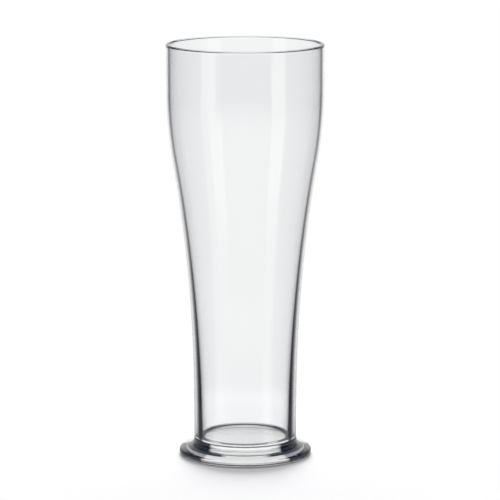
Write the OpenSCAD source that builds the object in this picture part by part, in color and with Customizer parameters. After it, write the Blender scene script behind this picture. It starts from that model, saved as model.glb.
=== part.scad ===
// Tall footed beer glass: a swelled bowl with its own floor, fused onto a pressed foot.
// Millimetres, +Z up, origin at the centre of the ring that the foot stands on.

/* [Bowl outline] */
// Outside diameter of the straight mouth
mouth_d = 85.2; // [76:0.2:94]
// Outside diameter of the slim lower wall
waist_d = 55.9; // [48:0.1:64]
// Height above the table at which the slim wall starts to swell
waist_h = 28.6; // [20:0.2:50]
// Height of the hollow part of the swell
hollow_h = 133.1; // [100:0.1:160]
// Height of the rounded shoulder above the hollow part
shoulder_h = 39.9; // [25:0.1:60]
// Height of the straight mouth above the shoulder
mouth_h = 23.4; // [10:0.2:40]

/* [Bowl wall] */
// Thickness of the wall at the rim
rim_wall = 1.9; // [1.2:0.1:3]
// Thickness of the wall at the inside floor
foot_wall = 3.8; // [3:0.1:6]
// How late the wall thickens on the way down, 1 being at a steady rate
wall_bias = 2.4; // [1:0.1:4]
// How far the round bead of the rim stands out on each side of the wall
bead_lip = 0.1; // [0:0.02:0.3]
// Thickness of the bowl's own floor over the seat
floor_t = 4; // [2:0.1:6]
// Radius of the inside corner between wall and floor
corner_r = 2; // [1:0.1:6]

/* [Seat and seam] */
// Height above the table of the flat that carries the bowl
seat_z = 5.6; // [5:0.1:7]
// Level distance from the outside of the slim wall in to that flat
seat_inset = 4.5; // [3:0.1:7]
// Height above the table of the bowl's lower outside edge, which is the upper line of the seam
seam_z = 9.8; // [9.2:0.1:12]
// Radius that rounds the edge of each piece along the seam
seam_round = 0.45; // [0.2:0.05:0.7]

/* [Foot] */
// How far the foot stands out past the slim wall, all round
foot_reach = 8.05; // [6.5:0.05:12]
// How far the collar round the seat stands out past the slim wall
collar_step = 0.1; // [0:0.05:0.5]
// Straight height of the collar between its rounded lip and the neck
collar_h = 0.3; // [0.1:0.1:0.8]
// How far the hollow neck leans out where it ends, in degrees from upright
neck_lean = 45; // [20:1:60]
// Radius that joins the neck to the top of the foot
neck_fillet = 0.8; // [0.3:0.1:1.5]
// Height above the table of the widest line of the foot
edge_z = 1.9; // [1.6:0.1:2.6]
// Radius of the rounded edge of the foot
edge_r = 1.5; // [1:0.1:1.6]
// Slope of the top of the foot, in degrees
foot_slope = 19; // [5:1:24]

/* [Underside] */
// Distance from the foot's edge in to the ring that stands on the table
land_inset = 5; // [3.5:0.1:8]
// Width of the ring that stands on the table
land_w = 2; // [1:0.1:4]
// Depth of the hollow inside that ring
punt_h = 2.4; // [1:0.1:3.4]
// Diameter of the flat in the middle of the hollow
punt_flat_d = 53; // [20:1:56]

/* [Hidden] */

// Sides of each turned surface, and steps in the hollow part, in the shoulder and in a full turn
turned_fn = 144;
hollow_steps = 14;
shoulder_steps = 8;
turn_steps = 48;

mouth_r = mouth_d / 2;
waist_r = waist_d / 2;
foot_r = waist_r + foot_reach;
turn_z = waist_h + hollow_h;
shoulder_z = turn_z + shoulder_h;
glass_h = shoulder_z + mouth_h;

// Points [r, z] of an arc round the point [mid_r, mid_z], from one angle to another
function arc(mid_r, mid_z, radius, from, to) =
    let (steps = ceil(turn_steps * abs(to - from) / 360) + 1)
    [for (i = [0:steps])
        let (a = from + (to - from) * i / steps)
        [mid_r + radius * cos(a), mid_z + radius * sin(a)]];

// Heights at even steps above the first one, up to the last
function heights(from, to, steps) = [for (i = [1:steps]) from + (to - from) * i / steps];

// The swell is two arcs with upright ends that meet at one slope
swell_slope = 2 * atan((mouth_r - waist_r) / (hollow_h + shoulder_h));
hollow_r = hollow_h / sin(swell_slope);
shoulder_r = shoulder_h / sin(swell_slope);

// Outside radius of the bowl at a height
function outside_r(z) =
    z <= waist_h ? waist_r
    : z <= turn_z ? waist_r + hollow_r - sqrt(pow(hollow_r, 2) - pow(z - waist_h, 2))
    : z < shoulder_z ? mouth_r - shoulder_r + sqrt(pow(shoulder_r, 2) - pow(shoulder_z - z, 2))
    : mouth_r;

// Inside radius of the bowl at a height, from a wall that thickens towards the floor
floor_z = seat_z + floor_t;
function wall_t(z) = rim_wall + (foot_wall - rim_wall) * pow((glass_h - z) / (glass_h - floor_z), wall_bias);
function inside_r(z) = outside_r(z) - wall_t(z);

// Heights at which the wall has points on its outside, and the same with the inside corner's below them
outside_heights = concat(
    [waist_h],
    heights(waist_h, turn_z, hollow_steps),
    heights(turn_z, shoulder_z, shoulder_steps)
);
corner_z = floor_z + corner_r;
inside_heights = concat([corner_z], outside_heights);

// The rim's bead is an arc over the top of the wall that ends where it meets the wall's two sides
bead_r = rim_wall / 2 + bead_lip;
bead_mid_r = mouth_r - rim_wall / 2;
bead_mid_z = glass_h - bead_r;
bead_cut = acos(rim_wall / 2 / bead_r);

// The seat is a flat with a cone round it, and both pieces follow it up to their rounded edges
seat_r = waist_r - seat_inset;
seat_angle = atan2(seam_z - seat_z, seat_inset);
function cone_z(r) = seat_z + (r - seat_r) * tan(seat_angle);
wall_edge_r = waist_r - seam_round;
wall_edge_z = cone_z(wall_edge_r) + seam_round / cos(seat_angle);
collar_r = waist_r + collar_step;
lip_r = collar_r - seam_round;
lip_z = cone_z(lip_r) - seam_round / cos(seat_angle);

// The top of the foot is a slope that meets its rounded edge without a corner
edge_mid_r = foot_r - edge_r;
slope_r = edge_mid_r + edge_r * sin(foot_slope);
slope_z = edge_z + edge_r * cos(foot_slope);

// The neck leaves the collar upright, and a fillet turns it onto the slope. Its radius is the one at which
// the end of the fillet lies on the slope
neck_z = lip_z - collar_h;
neck_end = 180 + neck_lean;
fillet_end = 270 - foot_slope;
fillet_shift_r = neck_fillet * (cos(fillet_end) - cos(neck_end));
fillet_shift_z = neck_fillet * (sin(fillet_end) - sin(neck_end));
slope_drop = neck_z - slope_z - (slope_r - collar_r - fillet_shift_r) * tan(foot_slope) + fillet_shift_z;
neck_r = -slope_drop / (sin(neck_end) + (1 + cos(neck_end)) * tan(foot_slope));
fillet_mid_r = collar_r + neck_r + (neck_r - neck_fillet) * cos(neck_end);
fillet_mid_z = neck_z + (neck_r - neck_fillet) * sin(neck_end);

// Under the edge, a straight run from the standing ring meets the rounded edge without a corner
land_r = foot_r - land_inset;
land_reach = norm([edge_mid_r - land_r, edge_z]);
land_angle = atan2(edge_z, edge_mid_r - land_r) - asin(edge_r / land_reach);
punt_flat_r = punt_flat_d / 2;

module bowl() {
    color([0.88, 0.9, 0.93, 0.35])
    rotate_extrude($fn = turned_fn)
    polygon(concat(
        [[0, seat_z], [seat_r, seat_z]],
        arc(wall_edge_r, wall_edge_z, seam_round, seat_angle - 90, 0),
        [for (z = outside_heights) [outside_r(z), z]],
        arc(bead_mid_r, bead_mid_z, bead_r, -bead_cut, 180 + bead_cut),
        [for (i = [1:len(inside_heights)])
            let (z = inside_heights[len(inside_heights) - i])
            [inside_r(z), z]],
        arc(inside_r(corner_z) - corner_r, corner_z, corner_r, 0, -90),
        [[0, floor_z]]
    ));
}

module foot() {
    color([0.8, 0.84, 0.9, 0.45])
    rotate_extrude($fn = turned_fn)
    polygon(concat(
        [[0, punt_h], [punt_flat_r, punt_h], [land_r - land_w, 0], [land_r, 0]],
        arc(edge_mid_r, edge_z, edge_r, land_angle - 90, 90 - foot_slope),
        arc(fillet_mid_r, fillet_mid_z, neck_fillet, fillet_end, neck_end),
        arc(collar_r + neck_r, neck_z, neck_r, neck_end, 180),
        arc(lip_r, lip_z, seam_round, 0, 90 + seat_angle),
        [[seat_r, seat_z], [0, seat_z]]
    ));
}

bowl();
foot();
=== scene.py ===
import math

import bpy
import numpy as np
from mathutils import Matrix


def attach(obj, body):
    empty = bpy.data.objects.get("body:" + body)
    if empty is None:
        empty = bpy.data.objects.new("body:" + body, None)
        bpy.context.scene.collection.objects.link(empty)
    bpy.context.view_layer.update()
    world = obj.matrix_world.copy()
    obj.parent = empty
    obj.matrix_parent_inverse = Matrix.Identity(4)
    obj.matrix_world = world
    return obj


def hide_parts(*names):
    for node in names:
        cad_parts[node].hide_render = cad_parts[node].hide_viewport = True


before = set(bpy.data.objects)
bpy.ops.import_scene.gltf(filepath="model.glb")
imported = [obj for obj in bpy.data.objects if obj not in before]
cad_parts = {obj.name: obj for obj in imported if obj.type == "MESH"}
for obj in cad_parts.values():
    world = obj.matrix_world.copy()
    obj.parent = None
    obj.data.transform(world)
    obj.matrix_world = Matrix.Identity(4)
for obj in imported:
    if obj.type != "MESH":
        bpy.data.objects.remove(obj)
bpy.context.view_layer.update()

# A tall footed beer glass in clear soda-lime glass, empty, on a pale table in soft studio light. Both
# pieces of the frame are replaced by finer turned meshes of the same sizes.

# Sizes of the glass in millimetres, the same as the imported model's, and one millimetre in metres
MM = 0.001
MOUTH_R = 42.6
WAIST_R = 27.95
WAIST_H = 28.6
HOLLOW_H = 133.1
SHOULDER_H = 39.9
MOUTH_H = 23.4
RIM_WALL = 1.9
FOOT_WALL = 3.8
WALL_BIAS = 2.4
BEAD_LIP = 0.1
FLOOR_T = 4.0
CORNER_R = 2.0
SEAT_Z = 5.6
SEAT_INSET = 4.5
SEAM_Z = 9.8
SEAM_ROUND = 0.45
FOOT_REACH = 8.05
COLLAR_STEP = 0.1
COLLAR_H = 0.3
NECK_LEAN = 45.0
NECK_FILLET = 0.8
EDGE_Z = 1.9
EDGE_R = 1.5
FOOT_SLOPE = 19.0
LAND_INSET = 5.0
LAND_W = 2.0
PUNT_H = 2.4
PUNT_FLAT_R = 26.5

TURN_Z = WAIST_H + HOLLOW_H
SHOULDER_Z = TURN_Z + SHOULDER_H
GLASS_H = SHOULDER_Z + MOUTH_H
FLOOR_Z = SEAT_Z + FLOOR_T
CORNER_Z = FLOOR_Z + CORNER_R
SEAT_R = WAIST_R - SEAT_INSET
SEAT_ANGLE = math.degrees(math.atan2(SEAM_Z - SEAT_Z, SEAT_INSET))
COLLAR_R = WAIST_R + COLLAR_STEP
FOOT_R = WAIST_R + FOOT_REACH

# Sides of each turned mesh, and the angle in degrees over which an edge stays crisp
SIDES = 240
CRISP = 14.0
# Points along the bowl's outline: the low wall, the hollow part of the swell, its shoulder, the mouth, and
# the inside from the waist down to the corner. Then the steps of its rounded edge, bead and inside corner
LOW_POINTS = 14
HOLLOW_POINTS = 64
SHOULDER_POINTS = 32
MOUTH_POINTS = 16
DOWN_POINTS = 8
SEAM_STEPS = 10
BEAD_STEPS = 24
CORNER_STEPS = 16
# Steps of the foot's rounded edge, fillet, neck and collar's lip
EDGE_STEPS = 24
FILLET_STEPS = 10
NECK_STEPS = 12
LIP_STEPS = 14
# Points of the foot's outline from the axis to the outside of its standing ring
UNDERSIDE_POINTS = 4
# Height at which the neck ends
NECK_FOOT_Z = 5.2

# Index of refraction of soda-lime glass
GLASS_IOR = 1.52

# The wall's material reads a value of each point, called hollow, to work out its painted shade. It is the
# outside radius of the wall over the inside one, 0 where there is solid glass inside, and ROD on two lines of
# the rim's bead, which bends light as a rod does: it turns a ray the same way as it comes in and as it goes
# out, so these are painted as dark lines
ROD = -1.0
# Points of the bead on its painted dark line outside and on its painted dark line inside
LINE_OUTSIDE = slice(4, 7)
LINE_INSIDE = slice(-7, -5)
# Points of the inside corner, from the floor up, that bend light into the thick glass round the floor, and so
# get the wall's painted shade
CORNER_LINE = 11


def linear(hex_colour):
    """A colour written as sRGB hex, as linear red, green, blue and an alpha of 1."""
    srgb = np.array([int(hex_colour[i : i + 2], 16) for i in (1, 3, 5)]) / 255
    rgb = np.where(srgb <= 0.04045, srgb / 12.92, ((srgb + 0.055) / 1.055) ** 2.4)
    return (*rgb, 1.0)


def arc(mid_r, mid_z, radius, start, end, steps):
    """Points on a circle round (mid_r, mid_z): the radius times the cosine and sine of an angle that goes
    from start to end, in degrees, in even steps."""
    a = np.radians(np.linspace(start, end, steps + 1))
    return np.column_stack([mid_r + radius * np.cos(a), mid_z + radius * np.sin(a)])


def outside_r(z):
    """Outside radius of the bowl at heights z: the waist, then two circles with upright ends that meet at
    one slope, then the mouth."""
    slope = 2 * math.atan((MOUTH_R - WAIST_R) / (HOLLOW_H + SHOULDER_H))
    hollow_r = HOLLOW_H / math.sin(slope)
    shoulder_r = SHOULDER_H / math.sin(slope)
    up = np.clip(z - WAIST_H, 0, HOLLOW_H)
    down = np.clip(SHOULDER_Z - z, 0, SHOULDER_H)
    lower = WAIST_R + hollow_r - np.sqrt(hollow_r**2 - up**2)
    upper = MOUTH_R - shoulder_r + np.sqrt(shoulder_r**2 - down**2)
    return np.where(z <= TURN_Z, lower, upper)


def wall_t(z):
    """Thickness of the wall at heights z: the rim's, plus the rest times a power of the depth below it."""
    depth = (GLASS_H - z) / (GLASS_H - FLOOR_Z)
    return RIM_WALL + (FOOT_WALL - RIM_WALL) * depth**WALL_BIAS


def inside_r(z):
    """Inside radius of the bowl at heights z: the outside less the wall."""
    return outside_r(z) - wall_t(z)


def cone_z(r):
    """Height of the seat's cone at radius r."""
    return SEAT_Z + (r - SEAT_R) * math.tan(math.radians(SEAT_ANGLE))


def seam_rounds():
    """The rounded edges along the seam, as [middle r, middle z]: the bowl's, over the cone, and the
    collar's, under it. Each touches the cone."""
    wall_r = WAIST_R - SEAM_ROUND
    lip_r = COLLAR_R - SEAM_ROUND
    lift = SEAM_ROUND / math.cos(math.radians(SEAT_ANGLE))
    return (wall_r, cone_z(wall_r) + lift), (lip_r, cone_z(lip_r) - lift)


def bowl_outline():
    """Half the bowl's section from the axis along the seat, up the outside, over the rim, down the inside
    and along the floor to the axis, with the number of its points on the seat and those of the rim's
    bead."""
    (edge_r, edge_z), (lip_r, lip_z) = seam_rounds()
    lip = arc(lip_r, lip_z, SEAM_ROUND, 90 + SEAT_ANGLE, 90 + SEAT_ANGLE, 0)
    seat = np.vstack([[[0, SEAT_Z], [SEAT_R, SEAT_Z]], lip])
    edge = arc(edge_r, edge_z, SEAM_ROUND, SEAT_ANGLE - 90, 0, SEAM_STEPS)
    low = np.linspace(edge_z, WAIST_H, LOW_POINTS)[1:]
    swell = np.linspace(WAIST_H, TURN_Z, HOLLOW_POINTS)[1:]
    shoulder = np.linspace(TURN_Z, SHOULDER_Z, SHOULDER_POINTS)[1:]
    bead_r = RIM_WALL / 2 + BEAD_LIP
    mouth = np.linspace(SHOULDER_Z, GLASS_H - bead_r, MOUTH_POINTS)[1:-1]
    outside = np.concatenate([low, swell, shoulder, mouth])
    bead_cut = math.degrees(math.acos(RIM_WALL / 2 / bead_r))
    bead = arc(MOUTH_R - RIM_WALL / 2, GLASS_H - bead_r, bead_r, -bead_cut, 180 + bead_cut, BEAD_STEPS)
    down = np.linspace(WAIST_H, CORNER_Z, DOWN_POINTS)
    inside = np.concatenate([mouth[::-1], shoulder[::-1], swell[::-1], down])
    corner = arc(inside_r(CORNER_Z) - CORNER_R, CORNER_Z, CORNER_R, 0, -90, CORNER_STEPS)[1:]
    outline = np.vstack(
        [
            seat,
            edge,
            np.column_stack([outside_r(outside), outside]),
            bead,
            np.column_stack([inside_r(inside), inside]),
            corner,
            [[0, FLOOR_Z]],
        ]
    )
    start = len(seat) + len(edge) + len(outside)
    return outline, len(seat), start + np.arange(len(bead))


def foot_outline():
    """Half the foot's section from the axis along the hollow underside, round the edge, up the slope and
    the neck and over the collar's lip, then along the seat to the axis, with the number of points on the
    seat."""
    lip_r, lip_z = seam_rounds()[1]
    slope = math.tan(math.radians(FOOT_SLOPE))
    edge_mid = FOOT_R - EDGE_R
    land_r = FOOT_R - LAND_INSET
    land_reach = math.hypot(edge_mid - land_r, EDGE_Z)
    land_angle = math.degrees(math.atan2(EDGE_Z, edge_mid - land_r) - math.asin(EDGE_R / land_reach))
    slope_r = edge_mid + EDGE_R * math.sin(math.radians(FOOT_SLOPE))
    slope_z = EDGE_Z + EDGE_R * math.cos(math.radians(FOOT_SLOPE))
    neck_z = lip_z - COLLAR_H
    end = math.radians(180 + NECK_LEAN)
    foot = math.radians(270 - FOOT_SLOPE)
    shift_r = NECK_FILLET * (math.cos(foot) - math.cos(end))
    shift_z = NECK_FILLET * (math.sin(foot) - math.sin(end))
    drop = neck_z - slope_z - (slope_r - COLLAR_R - shift_r) * slope + shift_z
    neck_r = -drop / (math.sin(end) + (1 + math.cos(end)) * slope)
    fillet_r = COLLAR_R + neck_r + (neck_r - NECK_FILLET) * math.cos(end)
    fillet_z = neck_z + (neck_r - NECK_FILLET) * math.sin(end)
    seat = np.array([[SEAT_R, SEAT_Z], [0, SEAT_Z]])
    outline = np.vstack(
        [
            [[0, PUNT_H], [PUNT_FLAT_R, PUNT_H]],
            [[land_r - LAND_W, 0], [land_r, 0]],
            arc(edge_mid, EDGE_Z, EDGE_R, land_angle - 90, 90 - FOOT_SLOPE, EDGE_STEPS),
            arc(fillet_r, fillet_z, NECK_FILLET, 270 - FOOT_SLOPE, 180 + NECK_LEAN, FILLET_STEPS),
            arc(COLLAR_R + neck_r, neck_z, neck_r, 180 + NECK_LEAN, 180, NECK_STEPS)[1:],
            arc(lip_r, lip_z, SEAM_ROUND, 0, 90 + SEAT_ANGLE, LIP_STEPS),
            seat,
        ]
    )
    return outline, len(seat)


def turned(name, outline, slots, hollow, materials):
    """A closed solid of revolution. At outline point i and turn angle u it is the point (r cos u, r sin u,
    z) of that outline point, so the outline is carried round the axis. The first and last points lie on the
    axis and are single points closed with triangles. slots gives the material of each band between two
    points of the outline, and hollow the value of that name at each point."""
    ring = outline[1:-1] * MM
    u = np.linspace(0, 2 * np.pi, SIDES, endpoint=False)
    x = ring[:, :1] * np.cos(u)
    y = ring[:, :1] * np.sin(u)
    z = np.repeat(ring[:, 1:], SIDES, axis=1)
    poles = np.array([[0, 0, outline[0, 1]], [0, 0, outline[-1, 1]]]) * MM
    points = np.vstack([np.stack([x, y, z], axis=-1).reshape(-1, 3), poles])
    rows = len(ring)
    i = np.arange(rows - 1)[:, None] * SIDES
    j = np.arange(SIDES)[None, :]
    k = (j + 1) % SIDES
    quads = np.stack([i + j, i + k, i + SIDES + k, i + SIDES + j], axis=-1).reshape(-1, 4)
    top = (rows - 1) * SIDES
    first = np.stack([np.full(SIDES, len(points) - 2), k[0], j[0]], axis=-1)
    last = np.stack([np.full(SIDES, len(points) - 1), top + j[0], top + k[0]], axis=-1)
    mesh = bpy.data.meshes.new(name)
    mesh.from_pydata(points.tolist(), [], first.tolist() + quads.tolist() + last.tolist())
    mesh.polygons.foreach_set("material_index", np.repeat(slots, SIDES).astype(np.int32))
    share = mesh.attributes.new("hollow", "FLOAT", "POINT")
    share.data.foreach_set("value", np.append(np.repeat(hollow[1:-1], SIDES), [0, 0]).astype(np.float32))
    for material in materials:
        mesh.materials.append(material)
    mesh.shade_smooth()
    mesh.set_sharp_from_angle(angle=math.radians(CRISP))
    mesh.validate()
    piece = bpy.data.objects.new(name, mesh)
    bpy.context.scene.collection.objects.link(piece)
    return piece


def node(tree, kind, inputs=(), out=0, **settings):
    """Adds a node of a kind, gives it its settings, and links each input, in order or by name, to a socket
    or sets its value. Returns one of its outputs."""
    new = tree.nodes.new("ShaderNode" + kind)
    for key, value in settings.items():
        setattr(new, key, value)
    for key, value in inputs.items() if isinstance(inputs, dict) else enumerate(inputs):
        if isinstance(value, bpy.types.NodeSocket):
            tree.links.new(value, new.inputs[key])
        else:
            new.inputs[key].default_value = value
    return new.outputs[out] if new.outputs else None


def new_material(name):
    """An empty node material, and its tree."""
    material = bpy.data.materials.new(name)
    material.use_nodes = True
    material.node_tree.nodes.clear()
    return material, material.node_tree


# The bowl is clear soda-lime glass, blown in a mould and fire-polished. It has no colour to speak of where it
# is thin, a mirror smooth skin, and a slight waviness that only shows in what is seen through it
CLEAR = linear("#fcfdfd")
# How far apart its waves are on the outside and on the inside of the wall and on the pressed foot, and how
# high they are, in millimetres
OUTSIDE_WAVE = 30.0
INSIDE_WAVE = 40.0
FOOT_WAVE = 9.0
WAVE_HEIGHT = 0.02
# A painted shade, in place of the dark room that the glass shows where it bends rays: the colour the glass is
# painted where the wall bends a ray most, and the bends in degrees where it starts to darken and where it is
# dark
EDGE = linear("#08090d")
BEND_START = 8.0
BEND_END = 38.0
# How much a bend counts where the ray still reaches the hollow
INNER_SHARE = 0.9


def turned_by(tree, sine):
    """How far a ray turns as it meets glass at an angle of this sine s: the arcsine of s less that of s /
    n, where n is the index of refraction. Past 1, where the ray misses the hollow, the first arcsine is a
    right angle."""
    met = node(tree, "Math", (sine, 1.0), operation="MINIMUM")
    met = node(tree, "Math", (met,), operation="ARCSINE")
    inside = node(tree, "Math", (sine, GLASS_IOR), operation="DIVIDE")
    inside = node(tree, "Math", (inside,), operation="ARCSINE")
    return node(tree, "Math", (met, inside), operation="SUBTRACT")


def painted_shade_by_bend(tree):
    """How much of the clear colour is kept, from 1 down, against the painted shade that stands where the wall
    has bent a ray. The bend is twice the difference between the turns at the inside and the outside of the
    wall. Their sines are s at the outside and s times hollow at the inside. s comes from facing f as the root
    of f (2 - f), and on the way out it is larger by the index of refraction."""
    facing = node(tree, "LayerWeight", {"Blend": 0.5}, "Facing")
    rest = node(tree, "Math", (2.0, facing), operation="SUBTRACT")
    square = node(tree, "Math", (facing, rest), operation="MULTIPLY")
    slant = node(tree, "Math", (square,), operation="SQRT")
    leaving = node(tree, "NewGeometry", out="Backfacing")
    gain = node(tree, "Math", (leaving, GLASS_IOR - 1, 1.0), operation="MULTIPLY_ADD")
    outer = node(tree, "Math", (slant, gain), operation="MULTIPLY", use_clamp=True)
    hollow = node(tree, "Attribute", out="Fac", attribute_name="hollow")
    inner = node(tree, "Math", (outer, hollow), operation="MULTIPLY")
    turns = (turned_by(tree, inner), turned_by(tree, outer))
    bend = node(tree, "Math", turns, operation="SUBTRACT")
    bend = node(tree, "Math", (bend,), operation="ABSOLUTE")
    missed = node(tree, "Math", (inner, 1.0), operation="GREATER_THAN")
    weight = node(tree, "MapRange", {"Value": missed, "To Min": INNER_SHARE, "To Max": 1.0})
    bend = node(tree, "Math", (bend, weight), operation="MULTIPLY")
    limits = {"From Min": math.radians(BEND_START / 2), "From Max": math.radians(BEND_END / 2)}
    return node(
        tree,
        "MapRange",
        {"Value": bend, "To Min": 1.0, "To Max": 0.0, **limits},
        interpolation_type="SMOOTHSTEP",
    )


def heading_of(tree, place):
    """The level direction of a place from the middle, one unit long."""
    level = node(tree, "VectorMath", (place, (1.0, 1.0, 0.0)), operation="MULTIPLY")
    return node(tree, "VectorMath", (level,), operation="NORMALIZE")


# The foot is the same glass, pressed in a mould, with closer waves. It is thick, so it is clear in front and
# dark at its sides, where it throws the light about inside; that dark is painted shade in its colour. This is
# the painted shade's colour. It is painted over these facings of its round outline, and a noise standing in
# for a waver of the pressed skin, some millimetres apart, moves the painted line about by this much
FOOT_PAINTED_SHADE = linear("#060a12")
SIDE_START = 0.25
SIDE_END = 0.33
WAVER_MM = 4.0
SIDE_WAVER = 0.04
# The slope, whose normal rises by at least this much, is painted light again on its far side, over these
# facings
SLOPE_UP = 0.93
FAR_START = 0.80
FAR_END = 0.87
# A noise about a millimetre apart, in place of fine ripples, breaks up the painted shade at the slope's sides
# into patches of painted light. The noise from the first to the second value lets in from the third to the
# fourth share of the light
PATCHY_LIGHT_MM = 1.0
PATCHY_LIGHT_SPAN = {"From Min": 0.3, "From Max": 0.7, "To Min": 0.10, "To Max": 0.24}
# How finely the patchy painted light, the noise on the painted shade's line and the grain are broken up, and
# the smooth waves of the skin
FINE = 2.0
SMOOTH = 1.0
# Just outside the neck a band of painted shade darkens the foot nearer to the front: the middle and half the
# height of that band, in millimetres, and by how much
BAR_Z = 4.85
BAR_HALF = 0.4
BAR_SHIFT = 0.17
# Facings of the level over which the foot's painted shade gives way, so that it is painted lighter as it is
# seen from above, with the table close under it
ABOVE_START = 0.62
ABOVE_END = 0.3
# The neck is a little less smooth than the rest, as pressed glass is where the mould parts
NECK_ROUGHNESS = 0.12


def painted_shade_at_sides(tree):
    """How much of the clear colour the foot keeps against its painted shade, from 1 down: all of it in front
    and from above, and little at the sides, where the light is thrown about inside. The slope keeps a little
    there, as patchy painted light, and all of it on the far side. Light that leaves the foot is left alone."""
    place = node(tree, "TexCoord", out="Object")
    waver = node(tree, "TexNoise", {"Vector": place, "Scale": 1 / (WAVER_MM * MM), "Detail": FINE})
    outline_facing = node(tree, "LayerWeight", {"Blend": 0.5, "Normal": heading_of(tree, place)}, "Facing")
    turned_away = node(tree, "Math", (waver, SIDE_WAVER, outline_facing), operation="MULTIPLY_ADD")
    height = node(tree, "SeparateXYZ", (place,), "Z")
    bar = node(tree, "Math", (height, BAR_Z * MM, BAR_HALF * MM), operation="COMPARE")
    turned_away = node(tree, "Math", (bar, BAR_SHIFT, turned_away), operation="MULTIPLY_ADD")
    front_span = {"From Min": SIDE_START, "From Max": SIDE_END, "To Min": 1.0, "To Max": 0.0}
    front = node(tree, "MapRange", {"Value": turned_away, **front_span}, interpolation_type="SMOOTHSTEP")
    facing = node(tree, "LayerWeight", {"Blend": 0.5}, "Facing")
    far_span = {"From Min": FAR_START, "From Max": FAR_END}
    far = node(tree, "MapRange", {"Value": facing, **far_span}, interpolation_type="SMOOTHSTEP")
    up = node(tree, "SeparateXYZ", (node(tree, "NewGeometry", out="Normal"),), "Z")
    on_slope = node(tree, "Math", (up, SLOPE_UP), operation="GREATER_THAN")
    far = node(tree, "Math", (far, on_slope), operation="MULTIPLY")
    patchy_painted_light = node(tree, "TexNoise", {"Vector": place, "Scale": 1 / (PATCHY_LIGHT_MM * MM), "Detail": FINE})
    patchy_painted_light = node(tree, "MapRange", {"Value": patchy_painted_light, **PATCHY_LIGHT_SPAN})
    least = node(tree, "Math", (on_slope, bar), operation="SUBTRACT", use_clamp=True)
    least = node(tree, "Math", (least, patchy_painted_light), operation="MULTIPLY")
    far = node(tree, "Math", (far, least), operation="MAXIMUM")
    share = node(tree, "Math", (front, far), operation="MAXIMUM")
    upright = node(tree, "CombineXYZ", (0.0, 0.0, 1.0))
    level_facing = node(tree, "LayerWeight", {"Blend": 0.5, "Normal": upright}, "Facing")
    above_span = {"From Min": ABOVE_START, "From Max": ABOVE_END}
    above = node(tree, "MapRange", {"Value": level_facing, **above_span}, interpolation_type="SMOOTHSTEP")
    share = node(tree, "Math", (share, above), operation="MAXIMUM")
    leaving = node(tree, "NewGeometry", out="Backfacing")
    return node(tree, "Math", (share, leaving), operation="MAXIMUM")


def glass(name, wave_mm, edge=None, share=None, roughness=0.0):
    """Clear glass with a slight waviness. Where share, which adds nodes that give 1 to 0, gives less than 1,
    it goes over to the edge colour, a painted shade."""
    material, tree = new_material(name)
    place = node(tree, "TexCoord", out="Object")
    wave = node(tree, "TexNoise", {"Vector": place, "Scale": 1 / (wave_mm * MM), "Detail": SMOOTH})
    bump = node(tree, "Bump", {"Height": wave, "Distance": WAVE_HEIGHT * MM})
    colour = CLEAR
    # A painted shade: where share is under 1 the glass's colour goes over to the edge colour
    if edge:
        mix = {"Factor": share(tree), "A": edge, "B": CLEAR}
        colour = node(tree, "Mix", mix, "Result", data_type="RGBA")
    skin = {"Base Color": colour, "Roughness": roughness, "IOR": GLASS_IOR, "Transmission Weight": 1.0}
    shader = node(tree, "BsdfPrincipled", {**skin, "Normal": bump})
    node(tree, "OutputMaterial", {"Surface": shader})
    return material


def fused():
    """The face where the bowl and the foot are melted into one another: nothing is seen there."""
    material, tree = new_material("fused_joint")
    clear = node(tree, "BsdfTransparent", {"Color": (1, 1, 1, 1)})
    node(tree, "OutputMaterial", {"Surface": clear})
    return material


joint = fused()
# The outside of the wall and the foot's top and neck carry painted shade in their colour
wall_outside = glass("blown_glass_outside", OUTSIDE_WAVE, EDGE, painted_shade_by_bend)
wall_inside = glass("blown_glass_inside", INSIDE_WAVE)
foot_top = glass("pressed_glass_top", FOOT_WAVE, FOOT_PAINTED_SHADE, painted_shade_at_sides)
foot_neck = glass("pressed_glass_neck", FOOT_WAVE, FOOT_PAINTED_SHADE, painted_shade_at_sides, NECK_ROUGHNESS)
underside = glass("pressed_glass_underside", FOOT_WAVE)

# The bowl. Its inside corner bends light as the outside of the wall does, so it has that material and its
# painted shade too
outline, on_seat, bead = bowl_outline()
band = np.arange(len(outline) - 1)
corner_line = np.arange(len(outline) - 1 - CORNER_LINE, len(outline) - 1)
on_outside, on_inside, on_joint = range(3)
slots = np.where(band < on_seat - 1, on_joint, np.where(band < bead[-1], on_outside, on_inside))
slots[corner_line[:-1]] = on_outside
heights = outline[:, 1]
hollow = np.where(heights > FLOOR_Z, outside_r(heights) / inside_r(np.maximum(heights, CORNER_Z)), 0.0)
hollow[bead[LINE_OUTSIDE]] = ROD
hollow[bead[LINE_INSIDE]] = ROD
hollow[corner_line] = 0.0
bowl = turned("bowl_glass", outline, slots, hollow, [wall_outside, wall_inside, joint])

# The foot
outline, on_seat = foot_outline()
band = np.arange(len(outline) - 1)
on_top, on_underside, on_neck, on_joint = range(4)
above_top = outline[:-1, 1] > NECK_FOOT_Z
slots = np.where(band < UNDERSIDE_POINTS, on_underside, np.where(above_top, on_neck, on_top))
slots = np.where(band >= len(outline) - 1 - on_seat, on_joint, slots)
materials = [foot_top, underside, foot_neck, joint]
foot = turned("foot_glass", outline, slots, np.zeros(len(outline)), materials)

for piece, name in ((bowl, "bowl"), (foot, "foot")):
    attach(piece, "root")
    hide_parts(name)

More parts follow.
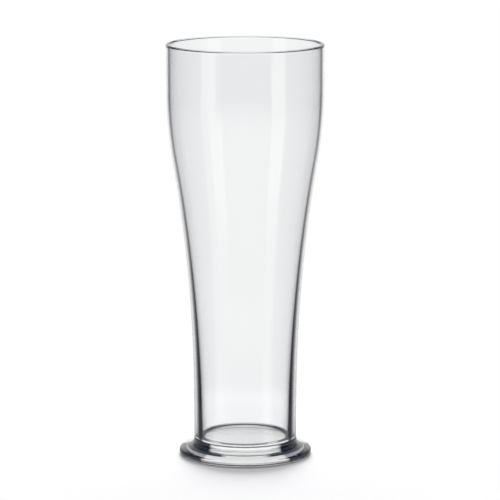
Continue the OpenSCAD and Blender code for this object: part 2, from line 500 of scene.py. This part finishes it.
# The table: a pale disc, with its radius in millimetres, and how far its top stands above the lowest plane
# of the glass, so that it touches the standing ring without lying in one plane with it
TABLE_R = 1600.0
TABLE_TOUCH = 0.01
TABLE_SIDES = 96
mesh = bpy.data.meshes.new("table")
u = np.linspace(0, 2 * np.pi, TABLE_SIDES, endpoint=False)
rim = np.column_stack([TABLE_R * np.cos(u), TABLE_R * np.sin(u), np.full(len(u), TABLE_TOUCH)]) * MM
mesh.from_pydata(rim.tolist(), [], [list(range(TABLE_SIDES))])
table = bpy.data.objects.new("table", mesh)
bpy.context.scene.collection.objects.link(table)


# What the glass mirrors: white light, and the dim cool walls of the studio, which give its edges their cast
WHITE = (1.0, 1.0, 1.0, 1.0)
WALLS = linear("#383655")
# Two tall soft boxes stand in front, as level directions and half widths in degrees. Their edges fade over
# this many degrees on each side, and this is how white they are
SOFT_BOXES = (((-0.823, -0.568, 0.0), 12.0), ((0.755, -0.655, 0.0), 11.0))
BOX_EDGE = 1.5
BOX_SHARE = 0.9
# The direction in which the studio is white beyond the glass. Over these cosines with it, from the first to
# the second, the room brightens to a first share of white
BEYOND = (0.0, 1.0, 0.0)
BEYOND_DIM = 0.22
BEYOND_BRIGHT = 0.62
BEYOND_SHARE = 0.3
# Over these it turns fully white, straight beyond
AHEAD_START = 0.80
AHEAD_END = 0.96
# The table near the glass brightens from the same first cosine towards this one, past straight beyond
TABLE_BRIGHT = 1.05
# In front it brightens over these cosines, from its share of white at the sides
FRONT_START = -0.3
FRONT_END = -0.9
TABLE_SIDE_SHARE = 0.38
# The shade of the foot in front, as a share of white and distances in metres over which it ends
SHADE_SHARE = 0.3
SHADE_START = 0.05
SHADE_END = 0.35
# Distances in metres over which the table goes over from matt to plain white, and over which it is mirrored
# as the room
PLAIN_START = 0.05
PLAIN_END = 0.16
ROOM_START = 0.5
ROOM_END = 1.5
# How much of the table is plain white through glass and in a mirror of glass, however near it is: painted
# light over its shadow there
PLAIN_SHARE = 0.75
# How dim what is mirrored deep inside the glass is, and how high the room no longer dims there
DEEP_SHARE = 0.35
DEEP_RISE = 0.1
# Counts that lie between whole numbers of a ray's mirrorings, or of the skins of glass that it has passed:
# at least one, at least two, which is from inside the glass, and at least three, which is from deep inside
ONE = 0.5
TWO = 1.5
THREE = 2.5


def room_share(tree, heading, beyond):
    """How white the room is at a heading: by its cosine with what is beyond the glass, or by a soft box."""
    span = {"From Min": BEYOND_DIM, "From Max": BEYOND_BRIGHT, "To Max": BEYOND_SHARE}
    share = node(tree, "MapRange", {"Value": beyond, **span})
    span = {"From Min": AHEAD_START, "From Max": AHEAD_END, "To Min": BEYOND_SHARE}
    ahead = node(tree, "MapRange", {"Value": beyond, **span}, interpolation_type="SMOOTHSTEP")
    is_ahead = node(tree, "Math", (beyond, AHEAD_START), operation="GREATER_THAN")
    share = node(tree, "Mix", {"Factor": is_ahead, "A": share, "B": ahead}, "Result")
    for direction, half_width in SOFT_BOXES:
        edge = math.cos(math.radians(half_width + BOX_EDGE))
        core = math.cos(math.radians(half_width - BOX_EDGE))
        across = node(tree, "VectorMath", (heading, direction), "Value", operation="DOT_PRODUCT")
        span = {"From Min": edge, "From Max": core, "To Max": BOX_SHARE}
        box = node(tree, "MapRange", {"Value": across, **span}, interpolation_type="SMOOTHSTEP")
        share = node(tree, "Math", (share, box), operation="MAXIMUM")
    return share


def by_ray(tree, plain, share, deep_share):
    """The colour that a ray meets. One that has only passed through the glass meets plain. One that the
    glass has mirrored meets the walls, and by share white, and deep_share of it where it comes from deep
    inside."""
    path = node(tree, "LightPath").node
    mirrored = node(tree, "Math", (path.outputs["Glossy Depth"], ONE), operation="GREATER_THAN")
    deep = node(tree, "Math", (path.outputs["Transmission Depth"], THREE), operation="GREATER_THAN")
    kept = node(tree, "MapRange", {"Value": deep, "To Min": 1.0, "To Max": deep_share})
    share = node(tree, "Math", (share, kept), operation="MULTIPLY")
    seen = node(tree, "Mix", {"Factor": share, "A": WALLS, "B": WHITE}, "Result", data_type="RGBA")
    return node(tree, "Mix", {"Factor": mirrored, "A": plain, "B": seen}, "Result", data_type="RGBA")


# The table's top is a matt white laminate, pressed against a fine textured plate, so it has a soft grain and
# no gloss. It is matt near the glass, where it keeps the shadow, and plain white further out. In the glass it
# shows a painted reflection: white in front, dimmer towards the cool walls at the sides, a painted shade of
# the foot, and further out the painted room with its soft boxes
LAMINATE = linear("#f5f5f6")
GRAIN_MM = 3.0
GRAIN_HEIGHT = 0.01
material, tree = new_material("white_laminate")
place = node(tree, "TexCoord", out="Object")
heading = heading_of(tree, place)
beyond = node(tree, "VectorMath", (heading, BEYOND), "Value", operation="DOT_PRODUCT")
away = node(tree, "VectorMath", (place,), "Value", operation="LENGTH")
grain = node(tree, "TexNoise", {"Vector": place, "Scale": 1 / (GRAIN_MM * MM), "Detail": FINE})
grain_bump = node(tree, "Bump", {"Height": grain, "Distance": GRAIN_HEIGHT * MM})
matt = node(tree, "BsdfDiffuse", {"Color": LAMINATE, "Normal": grain_bump})
span = {"From Min": FRONT_START, "From Max": FRONT_END, "To Min": TABLE_SIDE_SHARE, "To Max": 1.0}
front = node(tree, "MapRange", {"Value": beyond, **span}, interpolation_type="SMOOTHSTEP")
room = room_share(tree, heading, beyond)
span = {"From Min": SHADE_START, "From Max": SHADE_END, "To Min": SHADE_SHARE, "To Max": 1.0}
shade = node(tree, "MapRange", {"Value": away, **span}, interpolation_type="SMOOTHSTEP")
front = node(tree, "Math", (front, shade), operation="MULTIPLY")
back = node(tree, "MapRange", {"Value": beyond, "From Min": BEYOND_DIM, "From Max": TABLE_BRIGHT})
near = node(tree, "Math", (front, room), operation="MAXIMUM")
near = node(tree, "Math", (near, back), operation="MAXIMUM")
span = {"From Min": ROOM_START, "From Max": ROOM_END}
outward = node(tree, "MapRange", {"Value": away, **span}, interpolation_type="SMOOTHSTEP")
share = node(tree, "Mix", {"Factor": outward, "A": near, "B": room}, "Result")
# Painted reflection: this is what rays mirrored by the glass see of the table, with painted shade near the
# foot
white = node(tree, "Emission", {"Color": by_ray(tree, WHITE, share, DEEP_SHARE)})
span = {"From Min": PLAIN_START, "From Max": PLAIN_END}
plain = node(tree, "MapRange", {"Value": away, **span}, interpolation_type="SMOOTHSTEP")
path = node(tree, "LightPath").node
for count in (path.outputs["Transmission Depth"], path.outputs["Glossy Depth"]):
    by_glass = node(tree, "MapRange", {"Value": count, "To Max": PLAIN_SHARE})
    plain = node(tree, "Math", (plain, by_glass), operation="MAXIMUM")
top = node(tree, "MixShader", (plain, matt, white))
node(tree, "OutputMaterial", {"Surface": top})
table.data.materials.append(material)

# The room: white to the camera and through the glass, with a dark ceiling that only the glass shows, and an
# even light for matt surfaces. The ceiling starts over these heights of a direction
CEILING = linear("#4c4d50")
CEILING_START = 0.25
CEILING_END = 0.65
# How white the ceiling still is to light that has been inside the glass, and the light on matt surfaces
INSIDE_LIT = 0.8
EVEN_LIGHT = linear("#a9a9aa")
world = bpy.data.worlds.new("studio")
bpy.context.scene.world = world
world.use_nodes = True
tree = world.node_tree
tree.nodes.clear()
aim = node(tree, "TexCoord", out="Generated")
heading = heading_of(tree, aim)
beyond = node(tree, "VectorMath", (heading, BEYOND), "Value", operation="DOT_PRODUCT")
height = node(tree, "SeparateXYZ", (aim,), "Z")
span = {"From Min": CEILING_START, "From Max": CEILING_END}
ceiling = node(tree, "MapRange", {"Value": height, **span}, interpolation_type="SMOOTHSTEP")
lit = node(tree, "MapRange", {"Value": ceiling, "To Min": 1.0, "To Max": 0.0})
path = node(tree, "LightPath").node
inside = node(tree, "Math", (path.outputs["Transmission Depth"], TWO), operation="GREATER_THAN")
lit_inside = node(tree, "Math", (inside, INSIDE_LIT), operation="MULTIPLY")
lit = node(tree, "Math", (lit, lit_inside), operation="MAXIMUM")
share = node(tree, "Math", (room_share(tree, heading, beyond), lit), operation="MULTIPLY")
through = node(tree, "Mix", {"Factor": ceiling, "A": WHITE, "B": CEILING}, "Result", data_type="RGBA")
span = {"From Max": DEEP_RISE, "To Min": DEEP_SHARE, "To Max": 1.0}
rising = node(tree, "MapRange", {"Value": height, **span})
glass_sees = by_ray(tree, through, share, rising)
gathered = path.outputs["Diffuse Depth"]
light = node(tree, "Mix", {"Factor": gathered, "A": glass_sees, "B": EVEN_LIGHT}, "Result", data_type="RGBA")
camera_ray = path.outputs["Is Camera Ray"]
light = node(tree, "Mix", {"Factor": camera_ray, "A": light, "B": WHITE}, "Result", data_type="RGBA")
sky = node(tree, "Background", {"Color": light})
node(tree, "OutputWorld", {"Surface": sky})

# Two soft lamps behind the glass, one high and one low, whose light falls towards the camera. They light
# the table, where the thick foot keeps it out, and the thin clear wall lets it through. Each has its
# distance in metres, its rise in degrees, its width and height in metres and its watts
bowl.visible_shadow = False
LAMPS = (("overhead_softbox", 1.15, 60.0, 0.7, 0.7, 3.3), ("backdrop_light", 1.3, 17.0, 0.45, 0.6, 36.0))
for name, reach, rise, wide, tall, watts in LAMPS:
    lamp_data = bpy.data.lights.new(name, "AREA")
    lamp_data.shape = "RECTANGLE"
    lamp_data.size = wide
    lamp_data.size_y = tall
    lamp_data.energy = watts
    lamp = bpy.data.objects.new(name, lamp_data)
    rise = math.radians(rise)
    lamp.location = (0.0, reach * math.cos(rise), reach * math.sin(rise))
    lamp.rotation_euler = (rise - math.pi / 2, 0, 0)
    lamp.visible_glossy = False
    lamp.visible_transmission = False
    bpy.context.scene.collection.objects.link(lamp)

# The camera, at the photograph's height, distance and angle: its place in metres, how far it looks down in
# degrees, and its lens and sensor in millimetres
CAMERA_PLACE = (0.0026, -1.516, 0.3819)
CAMERA_DOWN = 10.07
LENS = 204.3
SENSOR = 36.0
camera_data = bpy.data.cameras.new("camera")
camera_data.sensor_width = SENSOR
camera_data.lens = LENS
camera = bpy.data.objects.new("camera", camera_data)
camera.location = CAMERA_PLACE
camera.rotation_euler = (math.radians(90 - CAMERA_DOWN), 0, 0)
bpy.context.scene.collection.objects.link(camera)
bpy.context.scene.camera = camera
bpy.context.scene.view_settings.view_transform = "Standard"
